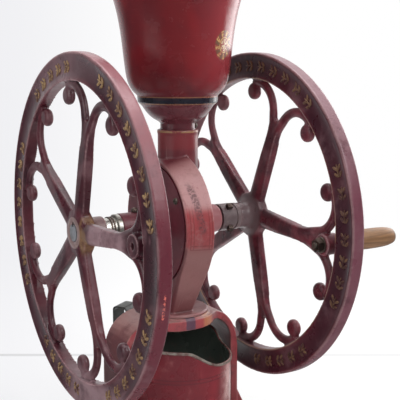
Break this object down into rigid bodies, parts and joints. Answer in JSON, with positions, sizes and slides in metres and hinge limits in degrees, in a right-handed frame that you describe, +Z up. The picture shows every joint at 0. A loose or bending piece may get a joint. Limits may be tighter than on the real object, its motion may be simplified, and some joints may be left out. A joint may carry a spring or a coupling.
{
  "type": "hand crank coffee grinder",
  "caption": "Counter coffee mill with spoked flywheels on one shaft, a cast burr chamber, a flared hopper with a lid above and a catch can in its arched base.",
  "frame": {"origin": "on the underside of the foot plate, below the hopper's vertical axis", "axes": "+Z up, +X along the shaft toward the wheel that carries the crank grip, -Y is the front, where the can shows its mouth"},
  "size_m": [0.3866, 0.458, 0.7001],
  "materials": {
    "body_red": "satin worn japanned red",
    "cover_plum": "satin dark plum enamel",
    "hopper_red": "satin japanned red",
    "can_red": "satin worn red over tin",
    "wheel_plum": "satin plum enamel, worn",
    "old_steel": "aged, tarnished",
    "dark_steel": "blackened",
    "bright_steel": "turned, oiled",
    "bronze": "bearing bronze",
    "burr_iron": "ground faces",
    "collar_grey": "satin, rubbed",
    "grip_wood": "worn maple",
    "ferrule_brass": "dull",
    "knob_black": "ebonised",
    "tin_wire": "tinned wire",
    "strap_black": "black japan"
  },
  "bodies": {
    "frame": {"base": "body_red", "mill_body": "body_red", "cover_plate": "cover_plum", "cover_screws": "old_steel", "foot_bolts": "body_red", "guide_screw": "dark_steel", "bush_right": "bronze", "oil_cups": "dark_steel", "fixed_burr": "burr_iron", "fixed_burr_screws": "dark_steel", "hopper": "hopper_red", "hopper_screw": "old_steel"},
    "nut": {"adjusting_nut": "bright_steel"},
    "sleeve": {"adjusting_sleeve": "bright_steel", "bush_left": "bronze", "lock_rings": "dark_steel"},
    "drive": {"shaft": "bright_steel", "left_wheel": "wheel_plum", "right_wheel": "wheel_plum", "wheel_keys": "dark_steel", "rotating_burr": "burr_iron", "burr_pin": "dark_steel", "feed_worm": "burr_iron", "thrust_collar": "collar_grey", "collar_set_screws": "dark_steel", "thrust_washers": "collar_grey", "crank_stud": "old_steel", "crank_nut": "dark_steel", "crank_washer": "old_steel", "grip_retainer": "old_steel"},
    "grip": {"crank_grip": "grip_wood", "grip_ferrule": "ferrule_brass"},
    "lid": {"hopper_lid": "hopper_red", "lid_knob": "knob_black", "lid_knob_screw": "old_steel"},
    "can": {"catch_can": "can_red", "can_rim_wire": "tin_wire", "can_handle": "strap_black", "handle_rivets": "old_steel"}
  },
  "joints": [
    {"name": "nut_turn", "type": "hinge", "parent": "frame", "child": "nut", "pos_m": [-0.093, 0, 0.29], "axis": [1, 0, 0], "range_deg": [-180, 180]},
    {"name": "sleeve_shift", "type": "slide", "parent": "frame", "child": "sleeve", "axis": [-1, 0, 0], "range_m": [-0.00075, 0.00075]},
    {"name": "shaft_turn", "type": "hinge", "parent": "sleeve", "child": "drive", "pos_m": [0, 0, 0.29], "axis": [1, 0, 0], "continuous": true},
    {"name": "grip_turn", "type": "hinge", "parent": "drive", "child": "grip", "pos_m": [0.2, -0.16943, 0.27607], "axis": [1, 0, 0], "continuous": true},
    {"name": "lid_lift", "type": "slide", "parent": "frame", "child": "lid", "axis": [0, 0, 1], "range_m": [0, 0.12]},
    {"name": "can_slide", "type": "slide", "parent": "frame", "child": "can", "axis": [0, 1, 0], "range_m": [0, 0.16]}
  ],
  "couplings": [
    {"joint": "nut_turn", "follows": "sleeve_shift", "rad_per_m": 4188.8}
  ]
}
